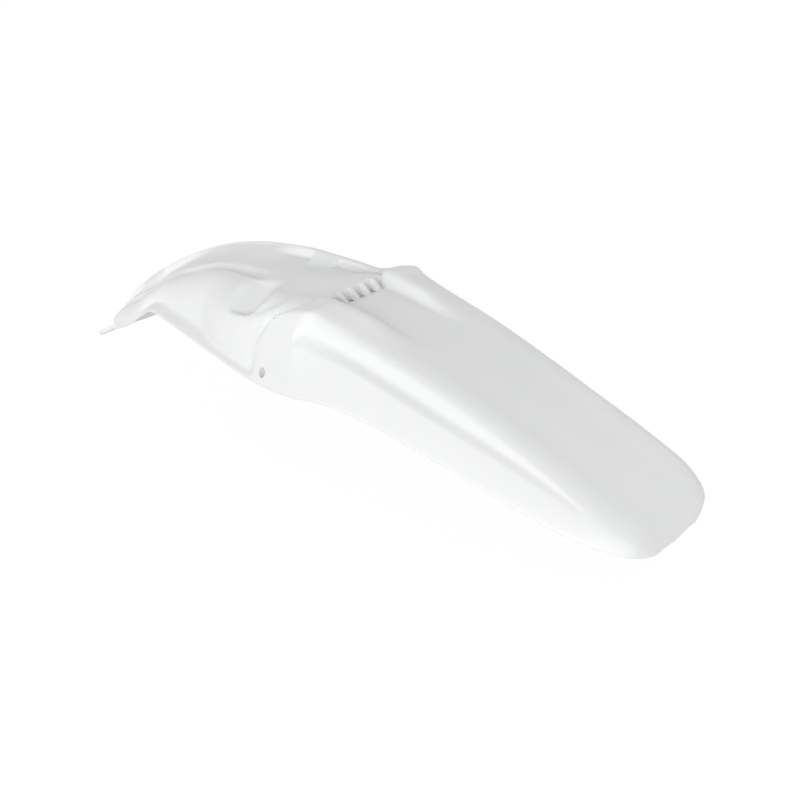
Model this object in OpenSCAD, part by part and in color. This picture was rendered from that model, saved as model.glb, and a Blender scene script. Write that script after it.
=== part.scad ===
// Rear fender of an off-road motorcycle: one moulded sheet, tail to +X, left side at -Y.
// Z is up and level with the flanges under the front section. All lengths in mm.

/* [Sheet] */
// Thickness of the moulded sheet
sheet_t = 2.6; // [1.8:0.1:4]
// Scale of the widths about the middle plane
width_scale = 1; // [0.85:0.01:1.2]
// Stretch of the tail behind the seat
tail_stretch = 1; // [0.85:0.01:1.2]

/* [Seat end] */
// Height of the two shoulders over the sunk panel behind the seat
shoulder_h = 7; // [4:0.5:10]
// Height of the step down behind the seat
step_h = 6; // [4:0.5:9]
// Number of gussets on the step
gusset_n = 4; // [2:2:6]
// Distance between gussets
gusset_pitch = 11; // [8:0.5:16]
// Thickness of a gusset
gusset_t = 3; // [2:0.2:5]

/* [Front] */
// Height of the lips beside the channel
lip_h = 7; // [4:0.5:10]
// Width of the flange under the front walls
flange_w = 10.5; // [4:0.5:14]
// Depth of the scoop in the left wall
scoop_d = 12; // [4:0.5:16]

/* [Side panels] */
// Depth of the long groove in each side panel
groove_d = 3.2; // [1:0.1:4]
// Diameter of the screw hole in each side panel
screw_d = 8; // [5:0.5:10]

/* [Tongue] */
// Width of the mounting tongue at the nose
tongue_w = 26; // [18:1:32]
// Thickness of the tongue
tongue_t = 3.6; // [2.5:0.1:6]
// Diameter of the bolt hole in the tongue
tongue_hole_d = 7; // [5:0.5:9]

/* [Hidden] */
$fn = 32;
white = [0.93, 0.94, 0.94];

// Half widths and heights of the rails that carry the skin, each at its own x.
nose_x = -309;
tail_x = 290;
lip_y = [[-309, 2], [-300, 6], [-290, 10], [-250, 22], [-210, 33], [-170, 41], [-130, 46], [-80, 44], [10, 46]];
lip_z = [[-309, -108.5], [-295, -93.5], [-291, -85], [-284, -77.5], [-250, -51], [-210, -29], [-170, -15],
    [-130, -7.5], [-80, -2.5], [-40, -3], [10, -6]];
// What the right lip has over lip_h along its length, and how far its inner face leans.
lip_more = [[-309, -6.5], [-295, -6.5], [-291, -1], [-250, 0], [-150, -0.5], [10, 1]];
lip_lean = [[-309, 1.5], [-273, 2], [-270, 9], [-253, 9], [-250, 2], [-235, 2.5], [-190, 8], [-120, 10],
    [-95, 5], [-80, 2.5], [-77, 12], [-54, 12], [-51, 2.5], [10, 3]];
// Where the left wall starts to roll down, and the dip of the channel beside it.
roll_y = [[-309, 1.5], [-296, 4], [-276, 6], [-237, 9], [-204, 11], [-150, 13], [-105, 17], [-85, 25], [-60, 36],
    [-40, 40], [10, 40]];
roll_z = [[-309, -111], [-290, -96], [-276, -87], [-249, -72], [-237, -63], [-223, -54], [-204, -42],
    [-178, -32], [-150, -21], [-124, -15.3], [-103, -13], [-80, -9], [-50, -5], [-30, -4], [10, -2]];
roll_dip = [[-309, 0.5], [-150, 1], [-124, 3], [-95, 4], [-80, 2], [-60, 1], [10, 1]];
crown = [[-309, 0], [-250, -2], [-150, -1.5], [-124, -3], [-85, -2], [-60, 1], [-30, 5], [10, 9]];
wall_y = [[-309, 3], [-304, 7], [-296, 11], [-250, 26], [-204, 38], [-29, 82], [10, 90]];
wall_z = [[-309, -121.5], [-296, -116], [-250, -93], [-225, -76.5], [-204, -64], [-190, -62], [10, -61]];
// The flange lies flat beside the channel and is folded down at the nose.
fold_up = [[-309, 4], [-250, 5.5], [-226, 5.5], [-205, 5.2], [10, 5.2]];
flange_share = [[-309, 0.08], [-232, 0.1], [-212, 0.75], [-195, 1]];
panel_z = [[-40, 0], [0, 0], [30, -2], [60, -6], [100, -13.5], [140, -25], [200, -46], [240, -61.5],
    [262, -71.5], [276, -79.5], [285, -88], [291, -103.5]];
shoulder_y = [[-40, 34], [20, 32], [60, 30], [100, 28], [291, 26]];
crest_y = [[-40, 62], [8, 64], [20, 60], [40, 57.6], [95, 54.6], [150, 51], [210, 49], [262, 50],
    [275, 48], [286, 41], [291, 24]];
crest_z = [[-40, -14], [-12, -6], [8, -0.5], [16, 0.8], [22, -1.8], [40, -6.7], [95, -20], [150, -36],
    [210, -57.5], [240, -70], [262, -80], [275, -87], [286, -94.5], [291, -106]];
edge_y = [[-40, 80], [0, 87], [30, 91], [60, 91], [100, 88], [160, 82], [200, 78], [240, 72],
    [262, 66], [276, 58], [285, 50], [289, 38], [291, 26]];
edge_z = [[-40, -63], [0, -60], [20, -56.5], [60, -50.5], [100, -54.5], [160, -68], [200, -78],
    [240, -88.5], [262, -94], [276, -98.5], [285, -102], [289, -105.5], [291, -108]];
groove_low = [[10, 0.42], [60, 0.434], [100, 0.478], [140, 0.5], [200, 0.46], [262, 0.4]];
// Where each row of the skin steps from the front wall up to the side panel, and by how much on the left.
seam = [4, 4, 4, 4, 4, 3, 1, -3, -8, -14, -22, -27, -29, -30, -31, -31, -31, -31, -31];
seam_step = 2.5;

// The tongue's lower front corner line, its slope, and the middle of its bolt hole.
tongue_root = [-312, 0, -124];
tongue_slope = 29.5;
tongue_hole = tongue_root + [-10 * cos(tongue_slope) - tongue_t / 2 * sin(tongue_slope), 0,
    -10 * sin(tongue_slope) + tongue_t / 2 * cos(tongue_slope)];
// The side screw holes sit in the slanted panels, just behind their leading edges.
hole_x = -20;
hole_z = -52.5;
boss_l = 7;
hole_y = wall_at(hole_x, hole_z);
// Slopes of the panel there, and the way that its outer face looks, which is the screw's line.
hole_dx = (wall_at(hole_x + 3, hole_z) - wall_at(hole_x - 3, hole_z)) / 6;
hole_dz = (wall_at(hole_x, hole_z + 3) - wall_at(hole_x, hole_z - 3)) / 6;
hole_out = [-hole_dx, 1, -hole_dz] / norm([hole_dx, 1, hole_dz]);

function ramp(a, b, x) = let(t = min(max((x - a) / (b - a), 0), 1)) t * t * (3 - 2 * t);
function mix(p, q, t) = p + (q - p) * t;
function rise(k, i) = (k[i + 1][1] - k[i][1]) / (k[i + 1][0] - k[i][0]);
function lean(k, i) = i == 0 ? rise(k, 0) : i == len(k) - 1 ? rise(k, i - 1)
    : let(a = rise(k, i - 1), b = rise(k, i)) a * b <= 0 ? 0 : 2 * a * b / (a + b);
function span(k, x, i = 0) = i >= len(k) - 2 || x <= k[i + 1][0] ? i : span(k, x, i + 1);
// Smooth curve through the knots of a rail, flat past its ends.
function along(k, x) = x <= k[0][0] ? k[0][1] : x >= k[len(k) - 1][0] ? k[len(k) - 1][1]
    : let(i = span(k, x), h = k[i + 1][0] - k[i][0], t = (x - k[i][0]) / h)
      k[i][1] * (1 + 2 * t) * pow(1 - t, 2) + lean(k, i) * h * t * pow(1 - t, 2)
      + k[i + 1][1] * t * t * (3 - 2 * t) - lean(k, i + 1) * h * t * t * (1 - t);
// Rounds the corner a-b-c, as five points from q1 to q2.
function bend(q1, b, q2) = [for (t = [0, 0.33, 0.67, 1]) mix(mix(q1, b, t), mix(b, q2, t), t)];

// Height of the channel's middle line.
function middle_z(x) = (along(lip_z, x) - lip_h - along(lip_more, x) + along(roll_z, x)) / 2 + along(crown, x);
// Outer edge of the flange and the corner above it, as two points.
function flange(x, inner) = let(
    e = [max(along(wall_y, x), inner + 1.5), along(wall_z, x)])
    [e, [max(e[0] - flange_w * along(flange_share, x), inner + 1), e[1] + along(fold_up, x)]];

// Half section of the left front: channel floor, broad roll, flange.
function front_left(x) = let(
    r = [along(roll_y, x), along(roll_z, x)],
    ef = flange(x, r[0]), e = ef[0], f = ef[1],
    dip = along(roll_dip, x), v = max(r[0] - 8, r[0] * 0.5), zc = middle_z(x))
    concat([[0, zc], [v * 0.5, mix(zc, r[1] - dip, 0.6)], [v, r[1] - dip], [mix(v, r[0], 0.65), r[1] - dip * 0.25]],
        [for (t = [0:7.5:90]) [r[0] + (f[0] - r[0]) * sin(t), f[1] + (r[1] - f[1]) * cos(t)]], [mix(f, e, 0.5), e]);

// Half section of the right front: channel floor, standing lip, wall, flange.
function front_right(x) = let(
    t = [along(lip_y, x), along(lip_z, x)],
    yb = t[0] - min(along(lip_lean, x), t[0] * 0.7), zb = t[1] - lip_h - along(lip_more, x),
    zc = middle_z(x),
    ef = flange(x, t[0]), e = ef[0], f = ef[1],
    n = ramp(-320, -200, x),
    a = t + [4 + 9 * n, -0.5 - 2.5 * n],
    a2 = [min(a[0], f[0] - 0.5), a[1]],
    q1 = mix(t, a2, 0.35), q2 = mix(a2, f, 0.42))
    concat([for (k = [0, 0.5, 0.85, 1]) [yb * k, zb + (zc - zb) * (1 - k * k)]],
        [t - [min(1.5, t[0] * 0.1), 0.6], t, mix(t, q1, 0.5)], bend(q1, a2, q2),
        [for (k = [0.14, 0.3, 0.46, 0.62, 0.8, 1]) mix(q2, f, k)], [mix(f, e, 0.5), e]);

// Half section of the tail: sunk panel, shoulder, crest, grooved side panel.
function tail(x) = let(
    a = [along(crest_y, x), along(crest_z, x)],
    e = [along(edge_y, x), along(edge_z, x)],
    k = min(1, a[0] / 50),
    zc = along(panel_z, x) - step_h,
    lift = shoulder_h * along([[-40, 0.9], [10, 1], [40, 0.95], [60, 0.55], [80, 0.2], [100, 0]], x),
    s = [along(shoulder_y, x) * k, zc + lift - along([[60, 0], [100, 0.2], [140, 0.6], [240, 1], [291, -1]], x)],
    b = [(s[0] - 5 * k) * 1, mix(zc, s[1], 0.75 * ramp(60, 130, x))],
    m = mix(s, a, 0.55) + [0, 0.6 + 0.2 * ramp(20, 60, x) * (1 - ramp(270, 291, x))],
    w = norm(e - a), r = 4 + 2 * ramp(60, 240, x),
    f = min(r / w, 0.3), n = [e[1] - a[1], a[0] - e[0]] / w,
    q1 = mix(a, m, min(r / norm(a - m), 0.8)), q2 = mix(a, e, f),
    gl = along(groove_low, x),
    gd = groove_d * along([[6, 0], [13, 1], [60, 1], [200, 0.6], [262, 0.1]], x),
    cuts = [[max(gl - 0.34, f + 0.03), 0], [max(gl - 0.17, f + 0.08), gd], [max(gl - 0.085, f + 0.1), gd * 0.5],
        [max(gl, f + 0.13), 0],
        [gl + (1 - gl) * 0.3, 0], [gl + (1 - gl) * 0.6, 0], [gl + (1 - gl) * 0.85, 0], [1, 0]])
    concat([[0, zc], [b[0] * 0.5, mix(zc, b[1], 0.3)], [b[0] * 0.85, mix(zc, b[1], 0.8)], b, mix(b, s, 0.8), s, m],
        bend(q1, a, q2),
        [for (c = cuts) mix(a, e, c[0]) + n * (c[1] - 6 * c[0] * (1 - c[0]) * ramp(-40, 30, x))]);

// Scoop pressed into the left wall, open at the top.
function scooped(x, p) = let(
    high = ramp(-32, -6, p[1]), start = mix(-82, -92, high), end = mix(-46, -36, high), u = (x - start) / (end - start),
    m = ramp(0, 0.32, u) * (1 - ramp(0.62, 1, u)) * ramp(-38, -24, p[1]) * ramp(14, 42, p[0]))
    [p[0] - scoop_d * m, p[1] - 4 * m];

// Height of a half section at a half width.
function height_at(h, y) = let(f = [for (i = [0:17]) if (h[i][0] <= y && h[i + 1][0] >= y && h[i + 1][0] > h[i][0]) i])
    len(f) == 0 ? h[18][1] : mix(h[f[0]], h[f[0] + 1], (y - h[f[0]][0]) / (h[f[0] + 1][0] - h[f[0]][0]))[1];
// A point of a half section, moved along its outward normal.
function shifted(h, k, by) = let(a = h[max(k - 1, 0)], b = h[min(k + 1, 18)])
    h[k] + [a[1] - b[1], b[0] - a[0]] / norm(b - a) * by;
// The left front where it runs into the side panel: a ridge, then a valley.
function meeting(x, fr) = let(
    ta = tail(max(x, -38)),
    near = [for (k = [0:18]) let(
        goal = k < 6 ? [ta[k][0], height_at(fr, ta[k][0])] : shifted(ta, k, -seam_step * (1 - 0.7 * ramp(9, 12, k))))
        mix(fr[k], goal, ramp(-66, -44, x) * (1 - ramp(10, 13, k)))])
    [for (k = [0:18])
        shifted(near, k, along([[0, -0.3], [3.5, -1.6], [10, 2.6], [17, 0.6], [21, 0]], seam[k] - x)
            * along([[3, 0], [6, 1], [9.5, 1], [11.5, 0]], k))];

function half(x, side) = let(
    fr = x >= 12 ? [] : side > 0 ? front_right(x) : x > -66 ? meeting(x, front_left(x)) : front_left(x),
    ta = x > -40 ? tail(x) : [])
    [for (k = [0:18]) let(p = x >= 12 ? ta[k] : x <= -40 ? fr[k]
        : mix(fr[k], ta[k], ramp(seam[k] - 2, seam[k] + 2, x)))
        side < 0 && x < -30 ? scooped(x, p) : p];

// Half width of the skin at height z on its lower wall.
function wall_at(x, z) = let(h = half(x, 1), k = [for (i = [11:17]) if (h[i][1] >= z && h[i + 1][1] < z) i][0])
    mix(h[k], h[k + 1], (z - h[k][1]) / (h[k + 1][1] - h[k][1]))[0] * width_scale;

stations = [nose_x, -304, -299, -295, -291, -284, -273, -270, -262, -253, -250, -242, -232, -216, -203,
    -195, -182, -168, -154, -142, -131, -118, -105, -94, -88, -80, -77, -70, -63, -57, -54, -51,
    -47, -42, -37, -34, -31, -29, -25, -21, -17, -13, -9, -5, -2, 1, 3, 5, 8, 12, 16, 21, 28, 38, 50, 64,
    80, 98, 118, 140, 162, 184, 205, 225, 242, 256, 267, 276, 283, 287, 289.5, tail_x + 1];

function placed(x, p) = [x > 20 ? 20 + (x - 20) * tail_stretch : x, p[0] * width_scale, p[1]];
// Rows run from the left edge over the middle to the right edge.
skin = [for (x = stations) let(l = half(x, -1), r = half(x, 1))
    concat([for (k = [18:-1:1]) placed(x, [-l[k][0], l[k][1]])], [for (k = [0:18]) placed(x, r[k])])];
rows = 37;
function inward(s, j) = let(a = s[max(j - 1, 0)], b = s[min(j + 1, rows - 1)], d = [b[1] - a[1], b[2] - a[2]])
    [0, d[1], -d[0]] / norm(d);
lining = [for (s = skin) [for (j = [0:rows - 1]) s[j] + inward(s, j) * sheet_t]];

module skin_sheet() {
    n = len(stations);
    pts = concat([for (s = skin) each s], [for (s = lining) each s]);
    b = n * rows;
    top = [for (i = [0:n - 2], j = [0:rows - 2]) let(a = i * rows + j)
        each [[a, a + rows + 1, a + rows], [a, a + 1, a + rows + 1]]];
    under = [for (i = [0:n - 2], j = [0:rows - 2]) let(a = b + i * rows + j)
        each [[a, a + rows, a + rows + 1], [a, a + rows + 1, a + 1]]];
    sides = [for (i = [0:n - 2], j = [0, rows - 1]) let(a = i * rows + j, c = a + rows)
        each j == 0 ? [[a, c + b, a + b], [a, c, c + b]] : [[a, a + b, c + b], [a, c + b, c]]];
    ends = [for (i = [0, n - 1], j = [0:rows - 2]) let(a = i * rows + j, c = a + 1)
        each i == 0 ? [[a, a + b, c + b], [a, c + b, c]] : [[a, c + b, a + b], [a, c, c + b]]];
    polyhedron(pts, concat(top, under, sides, ends), convexity = 12);
}

// Small webs that stiffen the step behind the seat.
module gussets() {
    for (i = [0:gusset_n - 1])
        translate([0, (i - (gusset_n - 1) / 2) * gusset_pitch - gusset_t / 2, 0])
            rotate([90, 0, 180])
                mirror([1, 0, 0]) linear_extrude(gusset_t)
                    polygon([[-5, -1.5], [-5, -3.5], [1, -step_h - 2], [9, -step_h - 2], [9, -step_h - 1.2], [0, -0.3]]);
}

module tongue_outline() {
    r = tongue_w / 2 - 3;
    polygon(concat([[24, tongue_w / 2], [-10, r]], [for (a = [100:10:260]) [-10 + r * cos(a), r * sin(a)]],
        [[-10, -r], [24, -tongue_w / 2]]));
}

module tongue() {
    translate(tongue_root) rotate([0, -tongue_slope, 0])
        difference() {
            linear_extrude(tongue_t) tongue_outline();
            translate([-10, 0, -1]) cylinder(d = tongue_hole_d, h = tongue_t + 2);
        }
}

// Works in a side screw's own frame: its middle at the panel's outer face, +Z outwards.
module at_screw(s) {
    translate([hole_x, s * hole_y, hole_z])
        rotate([0, acos(hole_out[2]), s * atan2(hole_out[1], hole_out[0])]) children();
}

// Boss behind each side hole, ending inside the slanted sheet.
module screw_boss(s) {
    at_screw(s) translate([0, 0, -boss_l]) cylinder(d = screw_d + 8, h = boss_l - 0.6 * sheet_t);
}

module fender() {
    color(white) translate(-tongue_hole) difference() {
        union() {
            skin_sheet();
            gussets();
            tongue();
            for (s = [-1, 1]) screw_boss(s);
        }
        for (s = [-1, 1])
            at_screw(s) translate([0, 0, -boss_l - 6]) cylinder(d = screw_d, h = boss_l + 14);
    }
}

fender();
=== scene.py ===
import math

import bmesh
import bpy
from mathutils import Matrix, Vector


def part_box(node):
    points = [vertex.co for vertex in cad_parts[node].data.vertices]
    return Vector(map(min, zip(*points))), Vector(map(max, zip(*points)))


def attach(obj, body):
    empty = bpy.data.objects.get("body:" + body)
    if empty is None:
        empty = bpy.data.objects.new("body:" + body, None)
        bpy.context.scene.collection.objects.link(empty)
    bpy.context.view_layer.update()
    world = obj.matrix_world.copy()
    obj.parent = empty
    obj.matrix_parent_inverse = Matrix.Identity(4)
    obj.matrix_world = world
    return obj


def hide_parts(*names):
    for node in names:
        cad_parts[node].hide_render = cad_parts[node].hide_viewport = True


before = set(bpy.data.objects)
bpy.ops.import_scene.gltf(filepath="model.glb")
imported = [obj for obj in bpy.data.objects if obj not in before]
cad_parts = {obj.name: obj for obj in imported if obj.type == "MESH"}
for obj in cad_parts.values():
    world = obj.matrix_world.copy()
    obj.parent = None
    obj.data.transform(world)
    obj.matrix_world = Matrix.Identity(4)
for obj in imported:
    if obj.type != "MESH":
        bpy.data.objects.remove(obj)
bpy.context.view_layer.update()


def ramp(a, b, x):
    t = min(max((x - a) / (b - a), 0.0), 1.0)
    return t * t * (3 - 2 * t)


def mix(p, q, t):
    if isinstance(p, (int, float)):
        return p + (q - p) * t
    return tuple(a + (b - a) * t for a, b in zip(p, q))


def along(knots, x):   # smooth curve through the knots of a rail, flat past its ends
    if x <= knots[0][0]:
        return knots[0][1]
    if x >= knots[-1][0]:
        return knots[-1][1]
    i = 0
    while x > knots[i + 1][0]:
        i += 1

    def rise(k):
        return (knots[k + 1][1] - knots[k][1]) / (knots[k + 1][0] - knots[k][0])

    def lean(k):
        if k == 0:
            return rise(0)
        if k == len(knots) - 1:
            return rise(k - 1)
        a, b = rise(k - 1), rise(k)
        return 0 if a * b <= 0 else 2 * a * b / (a + b)

    h = knots[i + 1][0] - knots[i][0]
    t = (x - knots[i][0]) / h
    return (knots[i][1] * (1 + 2 * t) * (1 - t) ** 2 + lean(i) * h * t * (1 - t) ** 2
            + knots[i + 1][1] * t * t * (3 - 2 * t) - lean(i + 1) * h * t * t * (1 - t))


def threaded(points, steps):   # smooth line through the points, steps[k] pieces after point k
    n = len(points)
    gaps = [max(math.dist(points[k], points[k + 1]), 1e-6) for k in range(n - 1)]
    slopes = []
    for k in range(n):
        if k == 0 or k == n - 1:
            j = 0 if k == 0 else n - 2
            slopes.append(tuple((b - a) / gaps[j] for a, b in zip(points[j], points[j + 1])))
        else:
            h0, h1 = gaps[k - 1], gaps[k]
            slopes.append(tuple(((c - b) / h1 * h0 + (b - a) / h0 * h1) / (h0 + h1)
                                for a, b, c in zip(points[k - 1], points[k], points[k + 1])))
    line = []
    for k in range(n - 1):
        for s in range(steps[k]):
            t, h = s / steps[k], gaps[k]
            line.append(tuple(
                a * (1 + 2 * t) * (1 - t) ** 2 + ma * h * t * (1 - t) ** 2
                + b * t * t * (3 - 2 * t) - mb * h * t * t * (1 - t)
                for a, b, ma, mb in zip(points[k], points[k + 1], slopes[k], slopes[k + 1])))
    line.append(tuple(points[-1]))
    return line


# Rails of the skin: half widths and heights in mm at their x, from the step behind the seat.
# Rows run from the middle line (row 0) over the lip or crest to the lower edge (row 18).
shell = {
    "sheet": 2.6,   # thickness
    "sheetShare": [(-309, 0.5), (-280, 0.6), (-220, 0.75), (-170, 1), (280, 1), (288, 0.6), (291, 0.3)],
    "rim": ((0.2, 0.2), (0.5, 0.28), (0.8, 0.2)),   # depth and reach of the rounded rim's points, in sheets
    "noseX": -309, "tailX": 291,
    "lipY": [(-309, 2), (-300, 6), (-290, 10), (-250, 22), (-210, 33), (-170, 41), (-130, 46),
             (-80, 44), (10, 46)],
    "lipZ": [(-309, -108.5), (-295, -93.5), (-291, -85), (-284, -77.5), (-250, -51), (-210, -29),
             (-170, -15), (-130, -7.5), (-80, -2.5), (-40, -3), (10, -6)],
    "lipHeight": 7,
    "lipExtra": [(-309, -6.5), (-295, -6.5), (-291, -1), (-250, 0), (-215, -1), (-178, -4), (-125, -4),
                 (-105, -0.5), (-24, 1), (-10, -2.5), (4, -4.5)],
    "lipLean": [(-312, 1.5), (-273, 2), (-270, 9), (-253, 9), (-250, 2), (-235, 2.5), (-190, 8), (-120, 10),
                (-95, 5), (-80, 2.5), (-77, 20), (-54, 20), (-51, 2.5), (10, 3)],
    "rollY": [(-309, 1.5), (-296, 4), (-276, 6), (-237, 9), (-204, 11), (-150, 13), (-105, 17),
              (-85, 25), (-60, 36), (-40, 40), (10, 40)],
    "rollZ": [(-309, -111), (-290, -96), (-276, -87), (-249, -72), (-237, -63), (-223, -54), (-204, -42),
              (-178, -32), (-150, -21), (-124, -15.3), (-103, -13), (-80, -9), (-50, -5), (-30, -4),
              (10, -2)],
    "rollDip": [(-312, 0.5), (-150, 1), (-124, 3), (-95, 4), (-80, 2), (-60, 1), (10, 1)],
    "crown": [(-312, 0), (-250, -2), (-200, 0), (-150, 1.5), (-124, 0.5), (-85, 0), (-60, 2),
              (-30, 5), (10, 9)],
    "wallY": [(-309, 3), (-304, 7), (-296, 11), (-250, 26), (-204, 38), (-29, 82), (10, 90)],
    "wallZ": [(-309, -121.5), (-296, -116), (-250, -93), (-225, -76.5), (-204, -64), (-190, -62),
              (10, -61)],
    "foldUp": [(-309, 4), (-250, 5.5), (-226, 5.5), (-205, 5.2), (10, 5.2)],
    "flange": 10.5,
    "flangeShare": [(-309, 0.08), (-232, 0.1), (-212, 0.75), (-195, 1)],
    "panelZ": [(-40, 0), (0, 0), (30, -2), (60, -6), (100, -13.5), (140, -25), (200, -46), (240, -61.5),
               (262, -71.5), (276, -79.5), (285, -88), (291, -103.5)],
    "stepDrop": 6,
    "shoulderY": [(-40, 34), (20, 32), (60, 30), (100, 28), (291, 26)],
    "shoulderLift": [(-40, 0.9), (10, 1), (40, 0.95), (60, 0.55), (80, 0.2), (100, 0)],
    "dome": [(60, 0), (100, 0.2), (140, 0.6), (240, 1), (291, -1)],
    "shoulderRise": 7,
    "trough": [(-10, 4), (6, 4), (12, 1.2), (18, 0.5), (30, 0)],
    "crestY": [(-40, 62), (8, 64), (20, 60), (40, 57.6), (95, 54.6), (150, 51), (210, 49), (262, 50),
               (275, 48), (286, 41), (291, 24)],
    "crestZ": [(-40, -14), (-12, -6), (8, -0.5), (16, 0.8), (22, -1.8), (40, -6.7), (95, -20), (150, -36),
               (210, -57.5), (240, -70), (262, -80), (275, -87), (286, -95), (291, -108.4)],
    "edgeY": [(-40, 80), (0, 87), (30, 91), (60, 91), (100, 88), (160, 82), (200, 78), (240, 72),
              (262, 66), (276, 58), (285, 50), (289, 38), (291, 26)],
    "edgeZ": [(-40, -63), (0, -60), (20, -56.5), (60, -50.5), (100, -54.5), (160, -68), (200, -78),
              (240, -88.5), (262, -94), (276, -98.5), (285, -102), (289, -106.3), (291, -109.4)],
    "grooveLow": [(10, 0.42), (60, 0.434), (100, 0.478), (140, 0.5), (200, 0.46), (262, 0.4)],
    "grooveDepth": 3.2,
    "grooveShare": [(6, 0), (13, 1), (60, 1), (180, 0.6), (225, 0.25), (255, 0)],
    "seam": [4, 4, 4, 4, 4, 3, 1, -3, -8, -14, -22, -27, -29, -30, -31, -31, -31, -31, -31],   # x by row
    "seamStep": 1.2,
    "ridge": [(-4, 0), (0, -1), (3, -1.5), (9, 1), (18, 1.5), (27, 0)],   # height by distance from the seam
    "ridgeRows": [(3, 0), (6, 1), (9.5, 1), (12, 0)],
    "frontEnd": 12,   # the front section's part in the skin ends here
    "tailStart": -40,   # and the tail's part starts here
    "meetFrom": -125, "meetTo": -34,   # between these the left wall leans towards the side panel
    "meetShare": 0.78,
    "rowSteps": [4, 3, 3, 4, 2, 3, 4, 4, 5, 5, 4, 3, 3, 3, 3, 3, 2, 3],
    "stationGap": 2.6,
    "crispAt": (4, -52, -78, -251, -271, -292),   # the step and the ends of the lip's patches
}
scoop = {
    "start": [(0, -96), (0.6, -91), (0.85, -86), (1, -80)],   # x of its front side, by how far down it is
    "end": [(0, -46), (0.2, -44), (0.7, -40), (1, -50)],
    "topZ": [(-96, -13.5), (-72, -9), (-46, -6)],
    "lowZ": -28, "innerY": 17, "reach": 39, "bend": 0.85,
}
tongue = {"root": (-312, 0, -124), "slope": 29.5, "width": 26, "thick": 3.6, "hole": 7, "back": 10,
          "front": 24, "corner": 3, "edge": 0.0006}
screw = {"x": -20, "z": -52.5, "hole": 8, "boss": 16, "depth": 7, "cutter": 24, "cutterFrom": 14}
gusset = {"count": 4, "pitch": 12.6, "thick": 3.2, "top": 4.3, "foot": 12.5, "sunk": 1.5}

slope = math.radians(tongue["slope"])
boltHole = (tongue["root"][0] - tongue["back"] * math.cos(slope) - tongue["thick"] / 2 * math.sin(slope), 0,
            tongue["root"][2] - tongue["back"] * math.sin(slope) + tongue["thick"] / 2 * math.cos(slope))


def placed(x, y, z):   # mm from the step to metres from the tongue's bolt hole
    return Vector(((x - boltHole[0]) / 1000, (y - boltHole[1]) / 1000, (z - boltHole[2]) / 1000))


def rounded(q1, b, q2):
    return [mix(mix(q1, b, t), mix(b, q2, t), t) for t in (0, 0.33, 0.67, 1)]


def middleZ(x):   # height of the channel's middle line
    base = along(shell["lipZ"], x) - shell["lipHeight"] - along([(-309, -6.5), (-250, 0), (4, 1)], x)
    return (base + along(shell["rollZ"], x)) / 2 + along(shell["crown"], x)


def flangeOf(x, inner):   # outer edge and inner corner of the flange, which is folded down at the nose
    e = (max(along(shell["wallY"], x), inner + 1.5), along(shell["wallZ"], x))
    width = shell["flange"] * along(shell["flangeShare"], x)
    return e, (max(e[0] - width, inner + 1), e[1] + along(shell["foldUp"], x))


def leftFront(x):   # broad roll from the channel down to the flange
    s = shell
    r = (along(s["rollY"], x), along(s["rollZ"], x))
    e, f = flangeOf(x, r[0])
    dip = along(s["rollDip"], x)
    v = max(r[0] - 8, r[0] * 0.5)
    zc = middleZ(x)
    roll = [math.radians(7.5 * k) for k in range(13)]
    return ([(0, zc), (v * 0.5, mix(zc, r[1] - dip, 0.6)), (v, r[1] - dip),
             (mix(v, r[0], 0.65), r[1] - dip * 0.25)]
            + [(r[0] + (f[0] - r[0]) * math.sin(t), f[1] + (r[1] - f[1]) * math.cos(t)) for t in roll]
            + [mix(f, e, 0.5), e])


def rightFront(x):   # channel floor, standing lip, wall and flange
    s = shell
    t = (along(s["lipY"], x), along(s["lipZ"], x))
    yb = t[0] - min(along(s["lipLean"], x), t[0] * 0.7)
    zb = t[1] - s["lipHeight"] - along(s["lipExtra"], x)
    zc = middleZ(x)
    e, f = flangeOf(x, t[0])
    n = ramp(-320, -200, x)
    a = (t[0] + 4 + 9 * n, t[1] - 0.5 - 2.5 * n)
    a2 = (min(a[0], f[0] - 0.5), a[1])
    q1, q2 = mix(t, a2, 0.35), mix(a2, f, 0.42)
    flat = mix(2, 5, ramp(-26, -6, x))
    return ([(yb * k, zb + (zc - zb) * (1 - k ** flat)) for k in (0, 0.5, 0.85, 1)]
            + [(t[0] - min(1.5, t[0] * 0.1), t[1] - 0.6), t, mix(t, q1, 0.5)] + rounded(q1, a2, q2)
            + [mix(q2, f, k) for k in (0.14, 0.3, 0.46, 0.62, 0.8, 1)] + [mix(f, e, 0.5), e])


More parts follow.
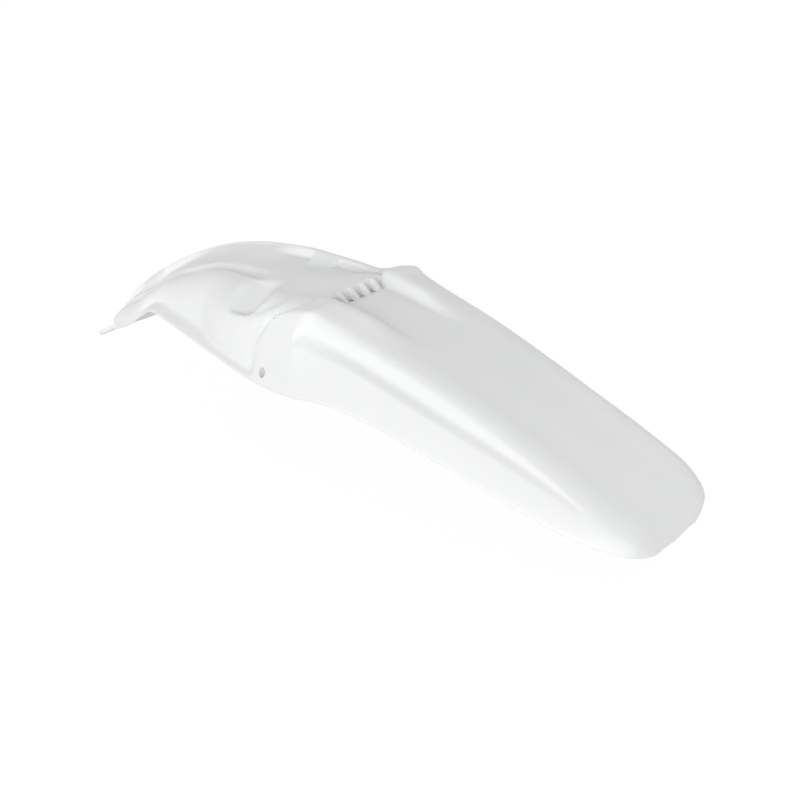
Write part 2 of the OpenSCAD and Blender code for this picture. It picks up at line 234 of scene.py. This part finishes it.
def tailHalf(x):   # sunk panel, shoulder, crest and grooved side panel
    s = shell
    a = (along(s["crestY"], x), along(s["crestZ"], x))
    e = (along(s["edgeY"], x), along(s["edgeZ"], x))
    k = min(1, a[0] / 50)
    zc = along(s["panelZ"], x) - s["stepDrop"] - along(s["trough"], x)
    lift = s["shoulderRise"] * along(s["shoulderLift"], x)
    top = (along(s["shoulderY"], x) * k, zc + along(s["trough"], x) + lift - along(s["dome"], x))
    b = (top[0] - 8 * k, mix(zc, top[1], 0.75 * ramp(60, 130, x)))
    m = mix(top, a, 0.55)
    m = (m[0], m[1] + 0.6 + 0.2 * ramp(20, 60, x) * (1 - ramp(270, 291, x)))
    w = math.dist(e, a)
    r = 4 + 2 * ramp(60, 240, x)
    f = min(r / w, 0.3)
    n = ((e[1] - a[1]) / w, (a[0] - e[0]) / w)
    bulge = 6 * ramp(-40, 30, x)
    q1, q2 = mix(a, m, min(r / math.dist(a, m), 0.8)), mix(a, e, f)
    q2 = (q2[0] - n[0] * bulge * f * (1 - f), q2[1] - n[1] * bulge * f * (1 - f))
    gl = along(s["grooveLow"], x)
    gd = s["grooveDepth"] * along(s["grooveShare"], x)
    g1 = max(gl - 0.17, f + 0.06)
    g2, g3 = max(gl - 0.04, g1 + 0.03), max(gl + 0.01, g1 + 0.06)
    cuts = [((f + g1) / 2, gd * mix(0.12, 0.5, ramp(15, 90, x))), (g1, gd), (g2, gd * 0.25), (g3, 0)]
    cuts += [(g3 + (1 - g3) * t, 0) for t in (0.1, 0.45, 0.75)] + [(1, 0)]
    points = [(0, zc), (b[0] * 0.5, mix(zc, b[1], 0.3)), (b[0] * 0.85, mix(zc, b[1], 0.8)), b,
              mix(b, top, 0.8), top, m] + rounded(q1, a, q2)
    for share, deep in cuts:
        p = mix(a, e, share)
        push = deep - bulge * share * (1 - share)
        points.append((p[0] + n[0] * push, p[1] + n[1] * push))
    return points


def scooped(x, p):   # scoop cut into the left wall, its floor falling evenly from the channel to a rim
    v = (p[0] - 18) / 46 + max(0, -p[1] - 17) / 70   # 0 at the channel, 1 at the rim
    start, end = along(scoop["start"], v), along(scoop["end"], v)
    u = (x - start) / (end - start)
    share = ramp(-0.05, 0.25, u) * (1 - ramp(0.55, 1, u)) * ramp(0, 0.12, v) * (1 - ramp(0.9, 1.02, v))
    top = along(scoop["topZ"], x)
    down = min(max(v, 0), 1)
    floorZ = top + (scoop["lowZ"] - top) * down ** scoop["bend"]
    floor = (scoop["innerY"] + scoop["reach"] * down, min(p[1], floorZ))
    return mix(p, floor, share * mix(0.75, 1, ramp(0, 0.5, u)))


def heightAt(section, y):
    for a, b in zip(section, section[1:]):
        if a[0] <= y <= b[0] and b[0] > a[0]:
            return mix(a[1], b[1], (y - a[0]) / (b[0] - a[0]))
    return section[-1][1]


def shifted(section, k, amount):   # a section's point moved along its outward normal
    a, b = section[max(k - 1, 0)], section[min(k + 1, len(section) - 1)]
    size = max(math.dist(a, b), 1e-6)
    return (section[k][0] + (a[1] - b[1]) / size * amount, section[k][1] + (b[0] - a[0]) / size * amount)


def widthAt(section, z):
    for a, b in zip(section, section[1:]):
        if a[1] >= z >= b[1] and a[1] > b[1]:
            return mix(a[0], b[0], (a[1] - z) / (a[1] - b[1]))
    return section[-1][0]


def leftMeeting(x, front):   # the left front drawn towards the side panel that it runs into
    tail = tailHalf(max(x, shell["tailStart"]))
    morph = ramp(-66, -44, x)
    rows = [mix(front[k], (tail[k][0], heightAt(front, tail[k][0])), morph) for k in range(6)]
    for k in range(6, 19):
        p = mix(front[k], shifted(tail, k, -shell["seamStep"]), 0.3 * morph * (1 - ramp(10, 13, k)))
        near = min(max(x - shell["meetFrom"], 0) / (shell["meetTo"] - shell["meetFrom"]), 1)
        blend = shell["meetShare"] * near * ramp(12, 30, -p[1])
        blend *= 1 if k < 16 else 0.75 if k == 16 else 0
        rows.append((mix(p[0], widthAt(tail, p[1]) - 0.6, blend), p[1]))
    return rows


fineRows = [k + i / n for k, n in enumerate(shell["rowSteps"]) for i in range(n)] + [18]
seamKnots = list(enumerate(shell["seam"]))


def halfSection(x, side):
    if x > shell["tailStart"]:
        tail = threaded(tailHalf(x), shell["rowSteps"])
    if x >= shell["frontEnd"]:
        return tail
    front = leftFront(x) if side < 0 else rightFront(x)
    if side < 0 and x > shell["meetFrom"]:
        front = leftMeeting(x, front)
    front = threaded(front, shell["rowSteps"])
    points = []
    for j, k in enumerate(fineRows):
        p = front[j]
        seam = along(seamKnots, k)
        if side < 0:
            bump = along(shell["ridge"], seam - x) * along(shell["ridgeRows"], k)
            p = shifted(front, j, bump)
        if x > shell["tailStart"]:
            before, after = (0.6, 0.6) if k < 3 else (18, 3) if side > 0 else (2, 1.5)
            if side < 0 and k > 3:
                before = mix(2, 10, ramp(11, 14, k))
            p = mix(p, tail[j], ramp(seam - before, seam + after, x))
        points.append(scooped(x, p) if side < 0 and x < -30 else p)
    return points


def stationList():   # finer where the skin turns quickly
    xs, x = [shell["noseX"]], shell["noseX"]
    while x < shell["tailX"]:
        close = 0.35 + 0.65 * min(abs(x + 15) / 40, 1)
        for crisp in shell["crispAt"]:
            close *= 0.4 + 0.6 * min(abs(x - crisp) / 4, 1)
        close *= 1 - 0.72 * ramp(262, 288, x)
        close *= 0.6 + 0.4 * min(abs(x + 68) / 34, 1)
        x = x + shell["stationGap"] * close
        xs.append(min(x, shell["tailX"]))
    if xs[-1] - xs[-2] < 0.3:
        xs.pop(-2)
    return xs


def sectionLoop(x):   # closed loop round the sheet at x: outer face, rounded rim, inner face, rounded rim
    sheet = shell["sheet"] * along(shell["sheetShare"], x)
    left, right = halfSection(x, -1), halfSection(x, 1)
    outer = [(-p[0], p[1]) for p in reversed(left[1:])] + list(right)
    n = len(outer)
    inner, rims = [], []
    for j in range(n):
        a, b = outer[max(j - 1, 0)], outer[min(j + 1, n - 1)]
        size = max(math.dist(a, b), 1e-6)
        forward = ((b[0] - a[0]) / size, (b[1] - a[1]) / size)
        inward = (forward[1], -forward[0])
        inner.append((outer[j][0] + inward[0] * sheet, outer[j][1] + inward[1] * sheet))
        if j in (0, n - 1):
            out = -1 if j == 0 else 1
            rims.append([(outer[j][0] + inward[0] * sheet * d + forward[0] * out * r * sheet,
                          outer[j][1] + inward[1] * sheet * d + forward[1] * out * r * sheet)
                         for d, r in shell["rim"]])
    return outer + rims[1] + inner[::-1] + rims[0][::-1], n


def makeShell():
    xs = stationList()
    bm = bmesh.new()
    loops = []
    for x in xs:
        loop, n = sectionLoop(x)
        loops.append([bm.verts.new(placed(x, p[0], p[1])) for p in loop])
    size = len(loops[0])
    for a, b in zip(loops, loops[1:]):
        for j in range(size):
            k = (j + 1) % size
            bm.faces.new((a[j], b[j], b[k], a[k]))
    for ring in (loops[0], loops[-1]):
        opposite = {j: 2 * n + 2 - j for j in range(n)}
        for j in range(n - 1):
            bm.faces.new((ring[j], ring[j + 1], ring[opposite[j + 1]], ring[opposite[j]]))
        bm.faces.new([ring[j] for j in range(n - 1, n + 4)])
        bm.faces.new([ring[j] for j in range(2 * n + 2, size)] + [ring[0]])
    bmesh.ops.recalc_face_normals(bm, faces=bm.faces)
    piece = fromMesh("fenderMoulding", bm)
    print("shell", len(xs), "stations", size, "rows")
    return piece


def fromMesh(name, bm):
    mesh = bpy.data.meshes.new(name)
    bm.to_mesh(mesh)
    bm.free()
    piece = bpy.data.objects.new(name, mesh)
    bpy.context.scene.collection.objects.link(piece)
    return piece


def extruded(name, outline, height, frameOf):   # a flat outline raised by height, then put in place
    bm = bmesh.new()
    low = [bm.verts.new(frameOf(u, v, 0)) for u, v in outline]
    high = [bm.verts.new(frameOf(u, v, height)) for u, v in outline]
    n = len(outline)
    bm.faces.new(low)
    bm.faces.new(high[::-1])
    for k in range(n):
        bm.faces.new((low[k], high[k], high[(k + 1) % n], low[(k + 1) % n]))
    bmesh.ops.recalc_face_normals(bm, faces=bm.faces)
    return fromMesh(name, bm)


def circle(radius, sides=48, middle=(0, 0)):
    turns = [math.tau * k / sides for k in range(sides)]
    return [(middle[0] + radius * math.cos(t), middle[1] + radius * math.sin(t)) for t in turns]


def combine(piece, other, operation):
    cut = piece.modifiers.new("combine", "BOOLEAN")
    cut.operation = operation
    cut.solver = "EXACT"
    cut.object = other
    bpy.context.view_layer.objects.active = piece
    bpy.ops.object.modifier_apply(modifier=cut.name)
    bpy.data.objects.remove(other)


def onTongue(u, v, h):   # tongue frame: u rearward along its slope, v to the right, h off its lower face
    x = tongue["root"][0] + u * math.cos(slope) - h * math.sin(slope)
    z = tongue["root"][2] + u * math.sin(slope) + h * math.cos(slope)
    return placed(x, v, z)


def wallAt(x, z):   # half width of the skin at height z on its lower wall
    half = halfSection(x, 1)
    for a, b in reversed(list(zip(half, half[1:]))):
        if a[1] >= z > b[1]:
            return mix(a, b, (z - a[1]) / (b[1] - a[1]))[0]


fender = makeShell()

# Tongue with its bolt hole
r = tongue["width"] / 2 - tongue["corner"]
turns = [math.radians(d) for d in range(90, 271, 6)]
tip = [(-tongue["back"] + r * math.cos(t), r * math.sin(t)) for t in turns]
outline = [(tongue["front"], tongue["width"] / 2)] + tip + [(tongue["front"], -tongue["width"] / 2)]
plate = extruded("tongue", outline, tongue["thick"], onTongue)
soft = plate.modifiers.new("soft", "BEVEL")
soft.width = tongue["edge"]
soft.segments = 2
soft.limit_method = "ANGLE"
bpy.context.view_layer.objects.active = plate
bpy.ops.object.modifier_apply(modifier=soft.name)
combine(fender, plate, "UNION")
bore = extruded("bore", circle(tongue["hole"] / 2, 40, (-tongue["back"], 0)), tongue["thick"] + 4,
                lambda u, v, h: onTongue(u, v, h - 2))
combine(fender, bore, "DIFFERENCE")
print("tongue done")

# Gussets on the step behind the seat, from the channel's end down to the sunk panel
floorLine = halfSection(1, 1)
for i in range(gusset["count"]):
    y = (i - (gusset["count"] - 1) / 2) * gusset["pitch"]
    high = heightAt(floorLine, abs(y))
    low = along(shell["panelZ"], 16) - shell["stepDrop"] - along(shell["trough"], 16)   # behind the foot
    profile = [(0, high - gusset["sunk"]), (gusset["top"], high - 0.05), (gusset["foot"], low + 0.3),
               (gusset["foot"], low - gusset["sunk"]), (0, low - gusset["sunk"])]
    web = extruded("gusset", profile, gusset["thick"],
                   lambda u, v, h: placed(u, y - gusset["thick"] / 2 + h, v))
    combine(fender, web, "UNION")
print("gussets done")

# Screw boss and hole in each side panel, square to the slanted panel
hy = wallAt(screw["x"], screw["z"])
dx = (wallAt(screw["x"] + 3, screw["z"]) - wallAt(screw["x"] - 3, screw["z"])) / 6
dz = (wallAt(screw["x"], screw["z"] + 3) - wallAt(screw["x"], screw["z"] - 3)) / 6
for side in (-1, 1):
    axis = Vector((-dx, side, -dz)).normalized()
    acrossA = axis.cross(Vector((0, 0, 1))).normalized()
    acrossB = axis.cross(acrossA)
    middle = Vector((screw["x"], side * hy, screw["z"]))

    def onPanel(u, v, h):
        return placed(*(middle + acrossA * u + acrossB * v + axis * h))

    boss = extruded("boss", circle(screw["boss"] / 2), screw["depth"] - 0.6 * shell["sheet"],
                    lambda u, v, h: onPanel(u, v, h - screw["depth"]))
    combine(fender, boss, "UNION")
    bore = extruded("bore", circle(screw["hole"] / 2), screw["cutter"],
                    lambda u, v, h: onPanel(u, v, h - screw["cutterFrom"]))
    combine(fender, bore, "DIFFERENCE")
print("screw holes done", len(fender.data.polygons), "faces")

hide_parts("fender")
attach(fender, "root")
for polygon in fender.data.polygons:
    polygon.use_smooth = True
fender.data.set_sharp_from_angle(angle=math.radians(50))

plastic = {
    "colour": (0.84, 0.845, 0.846, 1), "patchDark": (0.82, 0.826, 0.828, 1), "patchScale": 7,
    "roughness": (0.38, 0.5), "wearScale": 30, "grainScale": 800, "grainHeight": 0.00001,
    "rippleScale": 26, "rippleHeight": 0.0001, "ior": 1.49,
}


def mouldedFinish():   # group: faint tint patches, uneven gloss and the fine grain of the mould
    group = bpy.data.node_groups.new("mouldedFinish", "ShaderNodeTree")
    for name, kind in (("Colour", "Color"), ("Patch", "Color")):
        group.interface.new_socket(name, in_out="INPUT", socket_type="NodeSocket" + kind)
    for name, kind in (("Colour", "Color"), ("Roughness", "Float"), ("Normal", "Vector")):
        group.interface.new_socket(name, in_out="OUTPUT", socket_type="NodeSocket" + kind)
    nodes, links = group.nodes, group.links
    inside, outside = nodes.new("NodeGroupInput"), nodes.new("NodeGroupOutput")
    place = nodes.new("ShaderNodeTexCoord")

    def noise(scale, detail):
        node = nodes.new("ShaderNodeTexNoise")
        node.inputs["Scale"].default_value = scale
        node.inputs["Detail"].default_value = detail
        links.new(place.outputs["Object"], node.inputs["Vector"])
        return node

    def spread(source, low, high):
        node = nodes.new("ShaderNodeMapRange")
        node.inputs["From Min"].default_value, node.inputs["From Max"].default_value = 0.3, 0.7
        node.inputs["To Min"].default_value, node.inputs["To Max"].default_value = low, high
        links.new(source, node.inputs["Value"])
        return node.outputs["Result"]

    def bump(height, distance, before):
        node = nodes.new("ShaderNodeBump")
        node.inputs["Strength"].default_value = 0.6
        node.inputs["Distance"].default_value = distance
        links.new(height, node.inputs["Height"])
        if before:
            links.new(before, node.inputs["Normal"])
        return node.outputs["Normal"]

    tint = nodes.new("ShaderNodeMix")
    tint.data_type = "RGBA"
    links.new(spread(noise(plastic["patchScale"], 3).outputs["Fac"], 0, 1), tint.inputs["Factor"])
    links.new(inside.outputs["Colour"], tint.inputs["A"])
    links.new(inside.outputs["Patch"], tint.inputs["B"])
    links.new(tint.outputs["Result"], outside.inputs["Colour"])
    gloss = spread(noise(plastic["wearScale"], 5).outputs["Fac"], *plastic["roughness"])
    links.new(gloss, outside.inputs["Roughness"])
    ripple = bump(noise(plastic["rippleScale"], 1).outputs["Fac"], plastic["rippleHeight"], None)
    grain = bump(noise(plastic["grainScale"], 2).outputs["Fac"], plastic["grainHeight"], ripple)
    links.new(grain, outside.inputs["Normal"])
    return group


material = bpy.data.materials.new("whitePlastic")
material.use_nodes = True
nodes, links = material.node_tree.nodes, material.node_tree.links
shade = nodes["Principled BSDF"]
finish = nodes.new("ShaderNodeGroup")
finish.node_tree = mouldedFinish()
finish.inputs["Colour"].default_value = plastic["colour"]
finish.inputs["Patch"].default_value = plastic["patchDark"]
links.new(finish.outputs["Colour"], shade.inputs["Base Color"])
links.new(finish.outputs["Roughness"], shade.inputs["Roughness"])
links.new(finish.outputs["Normal"], shade.inputs["Normal"])
shade.inputs["IOR"].default_value = plastic["ior"]
fender.data.materials.append(material)
print("finish done")

studio = {
    "camera": (908.1, -636.9, 461.6), "azimuth": 40.2, "elevation": 26.65, "lens": 54,
    "middle": (0.3, 0, 0.05), "around": 0.605, "floorSize": 12, "floorGlow": 0.86, "floorLit": 0.22,
    "lamps": (("key", (2.1, -4.3, 1.05), 2.4, 128), ("fill", (0.8, 3.5, 1.6), 2, 13)),
}
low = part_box("fender")[0]

bpy.ops.mesh.primitive_plane_add(size=studio["floorSize"], location=(studio["middle"][0], 0, low.z))
floor = bpy.context.object
floor.name = "floor"


def seenDirectly(nodes, links):   # 1 for the rays that show the surroundings as a picture, 0 for light
    path = nodes.new("ShaderNodeLightPath")
    seen = path.outputs["Is Camera Ray"]
    for name in ("Is Glossy Ray", "Is Transmission Ray"):
        most = nodes.new("ShaderNodeMath")
        most.operation = "MAXIMUM"
        links.new(seen, most.inputs[0])
        links.new(path.outputs[name], most.inputs[1])
        seen = most.outputs[0]
    return seen


white = bpy.data.materials.new("floorWhite")
white.use_nodes = True
nodes, links = white.node_tree.nodes, white.node_tree.links
shadeFloor = nodes["Principled BSDF"]
shadeFloor.inputs["Base Color"].default_value = (0.9, 0.9, 0.9, 1)
shadeFloor.inputs["Roughness"].default_value = 0.9
# The camera sees a white glow and a thin lit share on it, which takes the fender's shadow
lit = nodes.new("ShaderNodeBsdfDiffuse")
lit.inputs["Color"].default_value = (studio["floorLit"],) * 3 + (1,)
glow = nodes.new("ShaderNodeEmission")
glow.inputs["Strength"].default_value = studio["floorGlow"]
seen = nodes.new("ShaderNodeAddShader")
blend = nodes.new("ShaderNodeMixShader")
links.new(seenDirectly(nodes, links), blend.inputs[0])
links.new(shadeFloor.outputs[0], blend.inputs[1])
links.new(lit.outputs[0], seen.inputs[0])
links.new(glow.outputs[0], seen.inputs[1])
links.new(seen.outputs[0], blend.inputs[2])
links.new(blend.outputs[0], nodes["Material Output"].inputs["Surface"])
floor.data.materials.append(white)
print("floor done")

world = bpy.context.scene.world or bpy.data.worlds.new("studio")
bpy.context.scene.world = world
world.use_nodes = True
nodes, links = world.node_tree.nodes, world.node_tree.links
nodes.clear()
around, backdrop = nodes.new("ShaderNodeBackground"), nodes.new("ShaderNodeBackground")
around.inputs["Strength"].default_value = studio["around"]
backdrop.inputs["Strength"].default_value = 1
for back in (around, backdrop):
    back.inputs["Color"].default_value = (1, 1, 1, 1)
pick, sky = nodes.new("ShaderNodeMixShader"), nodes.new("ShaderNodeOutputWorld")
links.new(seenDirectly(nodes, links), pick.inputs[0])
links.new(around.outputs[0], pick.inputs[1])
links.new(backdrop.outputs[0], pick.inputs[2])
links.new(pick.outputs[0], sky.inputs["Surface"])


def lamp(name, place, size, watts):
    data = bpy.data.lights.new(name, "AREA")
    data.size = size
    data.energy = watts
    obj = bpy.data.objects.new(name, data)
    obj.location = place
    obj.rotation_mode = "QUATERNION"
    obj.rotation_quaternion = (Vector(studio["middle"]) - Vector(place)).to_track_quat("-Z", "Y")
    bpy.context.scene.collection.objects.link(obj)


for settings in studio["lamps"]:
    lamp(*settings)

cam = bpy.data.cameras.new("camera")
cam.lens = studio["lens"]
cam.sensor_width = 36
camera = bpy.data.objects.new("camera", cam)
a, e = math.radians(studio["azimuth"]), math.radians(studio["elevation"])
backward = Vector((math.sin(a) * math.cos(e), -math.cos(a) * math.cos(e), math.sin(e)))
camera.location = Vector(studio["camera"]) / 1000
camera.rotation_mode = "QUATERNION"
camera.rotation_quaternion = (-backward).to_track_quat("-Z", "Y")
bpy.context.scene.collection.objects.link(camera)
bpy.context.scene.camera = camera
bpy.context.scene.view_settings.view_transform = "Standard"
print("studio done")
